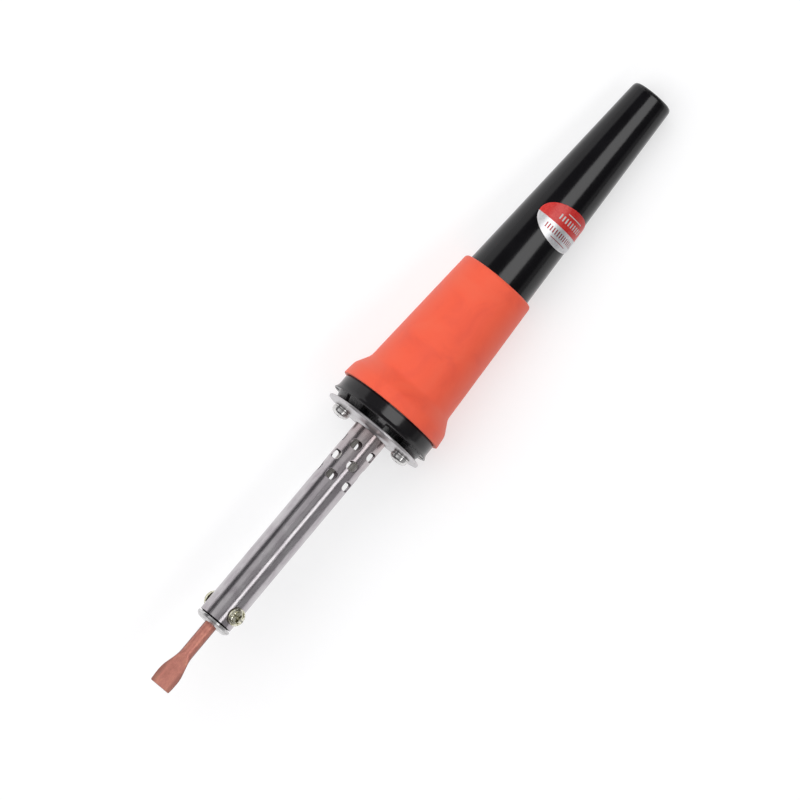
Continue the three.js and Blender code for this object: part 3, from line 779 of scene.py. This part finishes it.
def spring_washer(name, node, angle):
    """A split ring under a flange screw's head."""
    span = Span(node)
    bm = bmesh.new()
    steps = 64
    gap = math.radians(9)
    inner = 1.65
    outer = 2.75
    twist = 0.08
    rings = []
    for k in range(steps + 1):
        turn = gap / 2 + (2 * math.pi - gap) * k / steps
        lean = twist * (k / steps - 0.5)
        section = rounded([
            (span.front, inner, 0.08),
            (span.front, outer, 0.08),
            (span.rear, outer, 0.08),
            (span.rear, inner, 0.08),
        ], 2)
        ring = []
        for point in section:
            ring.append(bm.verts.new((point.x + lean, point.y * math.sin(turn), point.y * math.cos(turn))))
        rings.append(ring)
    for first, second in zip(rings, rings[1:]):
        join_rings(bm, first, second)
    bm.faces.new(rings[0])
    bm.faces.new(rings[-1][::-1])
    set_out(bm, FLANGE_SCREW_PITCH, angle)
    finish_piece(name, bm, "root", node, MATERIALS["screw_steel"], 30)


# ------------------------------------------------------------------ barrel and bush


def front_bush():
    plug = 4.7
    bore = 2.25
    bm = turned([
        (BUSH.front, BUSH.reach - 1.1, 0.25),
        (BUSH.front + 0.75, BUSH.reach - 0.12, 0.12),
        (BUSH.front + 0.85, BUSH.reach - 0.2, 0.04),
        (BUSH.front + 0.95, BUSH.reach, 0.12),
        (BUSH_FLANGE_REAR, BUSH.reach, 0.25),
        (BUSH_FLANGE_REAR, plug, 0.15),
        (BUSH.rear, plug, 0.4),
        (BUSH.rear, bore, 0.2),
        (BUSH.front, bore, 0.45),
    ])
    radius = CLAMP_HOLE_RADIUS
    drill = turned([(-8, 0.0, 0), (-8, radius, 0), (8, radius, 0), (8, 0.0, 0)], 48)
    stand(drill, CLAMP_STATION, CLAMP_ANGLE)
    bm = boolean(bm, [drill], "DIFFERENCE")
    finish_piece("turned_bush", bm, "root", "front_bush", MATERIALS["bush_steel"])


GRID = 3  # degrees between the barrel's lines
VENT_ROWS = (-29.85, -24.25, -18.65)
VENT_ANGLES = (-13, 23, -13)  # the middle of one vent of each row; the rows are staggered
VENT_PITCH = 5.6
VENTS_PER_ROW = 5
VENT_SIZE = (1.45, 1.85)  # half lengths along the tool and round it
WALL_INNER = 5.08


def barrel_point(bm, station, angle, radius):
    return bm.verts.new(around(angle, radius, station))


def plain_band(bm, low, high, first_angle, last_angle, rows, radius):
    """A stretch of plain wall between two stations and two angles."""
    columns = round((last_angle - first_angle) / GRID)
    lines = []
    for row in range(rows + 1):
        station = low + (high - low) * row / rows
        line = [barrel_point(bm, station, first_angle + GRID * c, radius) for c in range(columns + 1)]
        lines.append(line)
    for first, second in zip(lines, lines[1:]):
        for c in range(columns):
            bm.faces.new((first[c], first[c + 1], second[c + 1], second[c]))


def holed_cell(bm, low, high, centre_angle, half_angle, hole, power, rows):
    """A patch of both walls with a soft-edged hole through its middle.

    hole holds the hole's half lengths along the tool and round it. A power of 2 makes it an oval
    and a higher one makes it squarer.
    """
    outer = BARREL.reach
    columns = 2 * half_angle // GRID
    mid = (low + high) / 2
    border = []
    for c in range(columns):
        border.append((low, centre_angle - half_angle + GRID * c))
    for r in range(rows):
        border.append((low + (high - low) * r / rows, centre_angle + half_angle))
    for c in range(columns):
        border.append((high, centre_angle + half_angle - GRID * c))
    for r in range(rows):
        border.append((high - (high - low) * r / rows, centre_angle - half_angle))

    def loop(spread, grow, radius):
        """The border drawn in towards the hole; spread 1 is the border, 0 the hole."""
        ring = []
        for station, angle in border:
            x = station - mid
            y = math.radians(angle - centre_angle) * outer
            direction = math.atan2(x / hole[0], y / hole[1])
            reach_x = abs(math.sin(direction)) ** power
            reach_y = abs(math.cos(direction)) ** power
            size = (reach_x + reach_y) ** (-1 / power)
            hole_x = math.sin(direction) * size * (hole[0] + grow)
            hole_y = math.cos(direction) * size * (hole[1] + grow)
            at_x = hole_x + (x - hole_x) * spread
            at_y = hole_y + (y - hole_y) * spread
            at_angle = centre_angle + math.degrees(at_y / outer)
            ring.append(barrel_point(bm, mid + at_x, at_angle, radius))
        return ring

    edge = 0.1
    spreads = (1.0, 0.75, 0.5, 0.3, 0.12)
    loops = [loop(spread, edge, outer) for spread in spreads]
    loops.append(loop(0.0, edge, outer))
    loops.append(loop(0.0, edge * 0.3, outer - edge * 0.3))
    loops.append(loop(0.0, 0.0, outer - edge))
    loops.append(loop(0.0, 0.0, WALL_INNER))
    loops += [loop(spread, edge, WALL_INNER) for spread in reversed(spreads)]
    for first, second in zip(loops, loops[1:]):
        join_rings(bm, first, second)


def barrel_tube():
    bm = bmesh.new()
    edge = 0.12
    clamp_half = 3.8
    clamp_low = CLAMP_STATION - clamp_half
    clamp_high = CLAMP_STATION + clamp_half
    vents_low = VENT_ROWS[0] - VENT_PITCH / 2
    vents_high = VENT_ROWS[-1] + VENT_PITCH / 2
    clamp_half_angle = 30
    clamp_hole = (CLAMP_HOLE_RADIUS, CLAMP_HOLE_RADIUS)
    vent_half_angle = 180 // VENTS_PER_ROW
    start = VENT_ANGLES[0] - vent_half_angle
    plain = [
        (BARREL.front + edge, clamp_low, 3),
        (clamp_high, vents_low, 24),
        (vents_high, BARREL.rear - edge, 5),
    ]
    for radius in (BARREL.reach, WALL_INNER):
        for low, high, rows in plain:
            plain_band(bm, low, high, start, start + 360, rows, radius)
        for turn in (0, 180):
            first = CLAMP_ANGLE + turn + clamp_half_angle
            last = CLAMP_ANGLE + turn + 180 - clamp_half_angle
            plain_band(bm, clamp_low, clamp_high, first, last, 8, radius)
    for turn in (0, 180):
        angle = CLAMP_ANGLE + turn
        holed_cell(bm, clamp_low, clamp_high, angle, clamp_half_angle, clamp_hole, power=2, rows=8)
    for station, first in zip(VENT_ROWS, VENT_ANGLES):
        low = station - VENT_PITCH / 2
        for k in range(VENTS_PER_ROW):
            angle = first + 2 * vent_half_angle * k
            high = low + VENT_PITCH
            holed_cell(bm, low, high, angle, vent_half_angle, VENT_SIZE, power=3.2, rows=6)
    for station, outward in ((BARREL.front, edge), (BARREL.rear, -edge)):
        columns = 360 // GRID
        loops = []
        for at, radius in (
            (station + outward, BARREL.reach),
            (station + outward * 0.3, BARREL.reach - edge * 0.3),
            (station, BARREL.reach - edge),
            (station, WALL_INNER + edge * 0.4),
            (station + outward, WALL_INNER),
        ):
            loops.append([barrel_point(bm, at, start + GRID * c, radius) for c in range(columns)])
        for first, second in zip(loops, loops[1:]):
            join_rings(bm, first, second)
    finish_piece("vented_barrel", bm, "root", "barrel_tube", MATERIALS["barrel_steel"], 35)


# ------------------------------------------------------------------ flange, handle and grip


def mounting_flange():
    rear = FLANGE.rear
    front = rear - 1.0
    bore = 5.65
    hub = 0.85
    flat_radius = 15.3
    hole_radius = 1.75
    bm = turned([
        (front - hub, bore + 0.05, 0),
        (front - hub, bore + 0.25, 0.1),
        (front, bore + 1.3, 0.8),
        (front, flat_radius, 0.6),
        (front + 0.12, FLANGE.reach, 0.35),
        (rear, FLANGE.reach, 0.35),
        (rear, bore, 0.2),
    ])
    holes = []
    for turn in (0, 180):
        drill = turned([(-14, 0.0, 0), (-14, hole_radius, 0), (-10, hole_radius, 0), (-10, 0.0, 0)], 48)
        set_out(drill, FLANGE_SCREW_PITCH, FLANGE_SCREW_ANGLE + turn)
        holes.append(drill)
    bm = boolean(bm, holes, "DIFFERENCE")
    finish_piece("flange_plate", bm, "root", "mounting_flange", MATERIALS["plate_steel"])


CONE_REAR_RADIUS = 6.7
TAPER = 0.055
CONE_FRONT = 4.5
BELL_RADIUS = 15.9  # the wide front of the handle that the grip's flare sits on
BELL_REAR = -0.9
NECK = {"front_radius": 14.6, "rear_radius": 15.3, "inner": 12.3, "collar": 10.2, "bore": 8.4}
# Solid stretches of the neck, in degrees back from the screw boss, with twins half a turn on.
NECK_SOLIDS = ((-50, 31), (67, 82), (102, 124))


def cone_radius(station):
    """The handle's radius where it is a plain cone."""
    return CONE_REAR_RADIUS + TAPER * (HANDLE.rear - station)


def neck_block(first, last):
    """A sector of the neck ring with softened edges."""
    bm = bmesh.new()
    steps = max(2, round((last - first) / 2))
    front = HANDLE.front
    rear = DISC_FRONT + 0.3
    rings = []
    for k in range(steps + 1):
        angle = first + (last - first) * k / steps
        inset = 0.12 if k in (0, steps) else 0.0
        section = [
            (front + inset, NECK["inner"] + inset),
            (front + inset, NECK["front_radius"] - 0.15 - inset),
            (front + 0.15 + inset, NECK["front_radius"] - inset),
            (rear, NECK["rear_radius"] - inset),
            (rear, NECK["inner"] + inset),
        ]
        rings.append([bm.verts.new(around(angle, radius, station)) for station, radius in section])
    for one, other in zip(rings, rings[1:]):
        join_rings(bm, one, other)
    bm.faces.new(rings[0])
    bm.faces.new(rings[-1][::-1])
    return bm


def rim_pocket(angle):
    """A small oval moulding pocket that is cut into the front of the disc."""
    depth = 1.1
    pocket = turned([
        (DISC_FRONT - 1, 0, 0),
        (DISC_FRONT - 1, 0.85, 0),
        (DISC_FRONT + depth, 0.7, 0.2),
        (DISC_FRONT + depth, 0, 0),
    ], 32)
    pocket.transform(Matrix.Diagonal((1, 1.9, 1, 1)))
    set_out(pocket, 15.85, angle)
    return pocket


def handle_shell():
    grommet_seat = GROMMET.reach + 0.2
    rim_radius = HANDLE.reach
    rim_rear = -8.95
    disc_radius = 16.4
    disc_rear = -4.6
    grommet_floor = 111.0
    boss_radius = 3.2
    boss_rear = -8.9
    bm = turned([
        (HANDLE.front, NECK["bore"], 0.2),
        (HANDLE.front, NECK["collar"], 0.2),
        (DISC_FRONT, NECK["collar"], 0.2),
        (DISC_FRONT, rim_radius, 0.1),
        (rim_rear, rim_radius, 0.1),
        (-7.8, disc_radius, 0.6),
        (disc_rear, disc_radius, 0.1),
        (-4.4, BELL_RADIUS, 0),
        (BELL_REAR, BELL_RADIUS, 1.0),
        (CONE_FRONT, cone_radius(CONE_FRONT), 1.5),
        (GRIP.rear + 4, cone_radius(GRIP.rear + 4), 0),
        (80.0, cone_radius(80.0), 0),
        (HANDLE.rear, cone_radius(HANDLE.rear), 1.7),
        (HANDLE.rear, grommet_seat, 0.3),
        (grommet_floor, grommet_seat, 0),
        (grommet_floor, 3.9, 0),
        (46.0, 5.0, 0),
        (39.0, 7.7, 0.5),
    ], AROUND)
    blocks = []
    for turn in (0, 180):
        for low, high in NECK_SOLIDS:
            start = FLANGE_SCREW_ANGLE + turn
            blocks.append(neck_block(start - high, start - low))
        boss = turned([
            (HANDLE.front, 0, 0),
            (HANDLE.front, boss_radius, 0.2),
            (boss_rear, boss_radius, 0),
            (boss_rear, 0, 0),
        ], 48)
        set_out(boss, FLANGE_SCREW_PITCH, start)
        blocks.append(boss)
    bm = boolean(bm, blocks, "UNION")
    bm = boolean(bm, [rim_pocket(angle) for angle in (86, 266)], "DIFFERENCE")
    finish_piece("handle_moulding", bm, "root", "handle_shell", MATERIALS["black_moulding"], 30)


def grip_sleeve():
    lip = GRIP.reach
    shoulder = 14.55
    rear = 12.15
    clearance = 0.12
    front = GRIP.front
    bm = turned([
        (front, lip, 0.3),
        (0.1, 17.05, 0.9),
        (4.6, shoulder, 1.0),
        (16.0, shoulder - 0.66, 3.0),
        (31.0, rear + 0.86, 3.0),
        (GRIP.rear, rear, 1.2),
        (GRIP.rear, cone_radius(GRIP.rear) + clearance, 0.25),
        (CONE_FRONT, cone_radius(CONE_FRONT) + clearance, 1.5),
        (BELL_REAR, BELL_RADIUS + clearance, 1.0),
        (front, BELL_RADIUS + clearance, 0.2),
    ], AROUND, 8)
    soften(bm)
    finish_piece("silicone_grip", bm, "root", "grip_sleeve", MATERIALS["orange_silicone"], 50)


def soften(bm):
    """Slow hand-sized waves in the outside of the silicone, which is never quite true."""
    bmesh.ops.remove_doubles(bm, verts=bm.verts, dist=1e-4)
    for vert in bm.verts:
        x, y, z = vert.co
        radius = math.hypot(y, z)
        if radius < cone_radius(x) + 0.6 or x < GRIP.front + 0.1:
            continue
        wave = noise.noise(Vector((x * 0.09, y * 0.12, z * 0.12))) * 0.035
        vert.co.y *= 1 + wave / radius
        vert.co.z *= 1 + wave / radius


def rating_label():
    """A thin oval laid on the handle's cone, crowned a little at its edge."""
    bm = bmesh.new()
    stand_off = 0.12
    thickness = 0.18
    segments = 96
    radial = (0.0, 0.3, 0.55, 0.75, 0.9, 0.97, 1.0)
    layers = []
    for share in radial:
        layers.append((share, stand_off + thickness))
    layers.append((1.012, stand_off + thickness * 0.6))
    layers.append((1.012, stand_off))
    for share in reversed(radial):
        layers.append((share, stand_off))
    rings = []
    for share, height in layers:
        if share == 0.0:
            rings.append([label_point(bm, 0.0, 0.0, height)] * segments)
            continue
        ring = []
        for k in range(segments):
            turn = 2 * math.pi * k / segments
            ring.append(label_point(bm, share * math.cos(turn), share * math.sin(turn), height))
        rings.append(ring)
    for first, second in zip(rings, rings[1:]):
        join_rings(bm, first, second)
    finish_piece("oval_label", bm, "root", "rating_label", MATERIALS["label_foil"], 40)


def label_point(bm, along, across, height):
    """A point of the label, from shares of its half lengths and a height over the cone."""
    station = LABEL["station"] + LABEL["half_axial"] * along
    radius = cone_radius(station) + height
    angle = LABEL["angle"] + math.degrees(LABEL["half_around"] * across / cone_radius(station))
    return bm.verts.new(around(angle, radius, station))


def inlet_grommet():
    bm = turned([
        (GROMMET.front, GROMMET.reach, 0.2),
        (GROMMET.rear, GROMMET.reach, 0.15),
        (GROMMET.rear, 3.5, 0.3),
        (GROMMET.front, 3.5, 0.2),
    ], SMALL_AROUND)
    finish_piece("cord_grommet", bm, "root", "inlet_grommet", MATERIALS["black_rubber"])


# ------------------------------------------------------------------ assembly

copper_bit()
front_bush()
barrel_tube()
clamp_screw("clamp_head_upper", "clamp_screw_upper", "clamp_upper", CLAMP_ANGLE)
clamp_screw("clamp_head_lower", "clamp_screw_lower", "clamp_lower", CLAMP_ANGLE + 180)
mounting_flange()
for side, turn in (("right", 0), ("left", 180)):
    flange_screw(f"flange_head_{side}", f"flange_screw_{side}", FLANGE_SCREW_ANGLE + turn)
    spring_washer(f"spring_washer_{side}", f"flange_washer_{side}", FLANGE_SCREW_ANGLE + turn)
handle_shell()
grip_sleeve()
rating_label()
inlet_grommet()

# The pieces inside keep their CAD shape and only get a material.
for node, slot in SLOTS.items():
    if node in REPLACED:
        continue
    mesh = frame["nodes"][node].data
    mesh.materials.clear()
    mesh.materials.append(MATERIALS[slot])

# ------------------------------------------------------------------ floor, light and camera


def floor():
    """A plain pale sheet that the tool lies on."""
    bm = bmesh.new()
    bmesh.ops.create_grid(bm, x_segments=4, y_segments=4, size=4)
    mesh = bpy.data.meshes.new("floor")
    bm.to_mesh(mesh)
    bm.free()
    obj = bpy.data.objects.new("floor", mesh)
    obj.location.z = cad_box[0][2] - 0.0002
    s = Surface("floor_paper", Specular_IOR_Level=0.1, Emission_Strength=0.56)
    s.set("Emission Color", (1.0, 1.0, 1.0, 1.0))
    grain = s.noise(scale=0.8, detail=3.0)
    s.set("Base Color", s.ramp(grain, (0.3, (0.455, 0.455, 0.46)), (0.7, (0.47, 0.47, 0.475))))
    s.set("Roughness", s.range(grain, 0.3, 0.7, 0.85, 0.95))
    mesh.materials.append(s.material)
    bpy.context.scene.collection.objects.link(obj)


def soft_box(name, lean, width, brightness, kept_from=(), only_on=(), mirrored=True, lights=True):
    """A long rectangle of light over the tool. lean is its angle from overhead towards -Y.

    width is the angle that it spans. It can be kept from some pieces or shine only on some.
    """
    distance = 1.2
    light = bpy.data.lights.new(name, "AREA")
    light.shape = "RECTANGLE"
    light.size = 2.4
    light.size_y = 2 * distance * math.tan(math.radians(width / 2))
    light.energy = math.pi * brightness * light.size * light.size_y
    obj = bpy.data.objects.new(name, light)
    obj.location = around(lean, distance)
    obj.rotation_euler = (math.radians(lean), 0, 0)
    obj.visible_glossy = mirrored
    obj.visible_diffuse = lights
    bpy.context.scene.collection.objects.link(obj)
    if kept_from or only_on:
        receivers = bpy.data.collections.new(name + "_receivers")
        for piece in kept_from or only_on:
            receivers.objects.link(piece)
        for link in receivers.collection_objects:
            link.light_linking.link_state = "EXCLUDE" if kept_from else "INCLUDE"
        obj.light_linking.receiver_collection = receivers


def studio():
    """Soft boxes along the tool, each flagged off from the pieces that it isn't meant for."""
    black = [bpy.data.objects[name] for name in ("handle_moulding", "oval_label", "cord_grommet")]
    soft_box("strip_box", 30, 15, 2.04, kept_from=black)
    soft_box("wing_box", 0, 24, 0.36, kept_from=black)
    soft_box("fill_box", -30, 34, 0.6, kept_from=black)
    soft_box("low_box_left", -83, 16, 0.88, kept_from=black, lights=False)
    soft_box("low_box_right", 68, 36, 0.25, kept_from=black)
    soft_box("handle_box", 11, 43, 3.15, only_on=black, lights=False)
    soft_box("handle_glow_left", -76, 34, 0.85, only_on=black, lights=False)
    soft_box("handle_glow_right", 80, 14, 0.3, only_on=black, lights=False)
    soft_box("key_box", -27, 60, 1.45, mirrored=False)
    world = bpy.data.worlds.new("studio")
    world.use_nodes = True
    background = world.node_tree.nodes["Background"].inputs
    background["Color"].default_value = (0.95, 0.95, 1.0, 1.0)
    background["Strength"].default_value = 0.11
    bpy.context.scene.world = world
    bpy.context.scene.view_settings.view_transform = "Standard"


def camera():
    """Straight down, turned so that the iron lies from lower left to upper right."""
    height = 2.5
    view_width = 0.2332
    turn = -50.07
    shift = 0.0002
    data = bpy.data.cameras.new("camera")
    data.sensor_width = 36
    data.lens = data.sensor_width * height / view_width
    obj = bpy.data.objects.new("camera", data)
    aim = TOOL @ Vector((0, 0, 0))
    obj.location = (aim.x, aim.y - shift, aim.z + height)
    obj.rotation_euler = (0, 0, math.radians(turn))
    bpy.context.scene.collection.objects.link(obj)
    bpy.context.scene.camera = obj


floor()
studio()
camera()

bpy.context.view_layer.update()
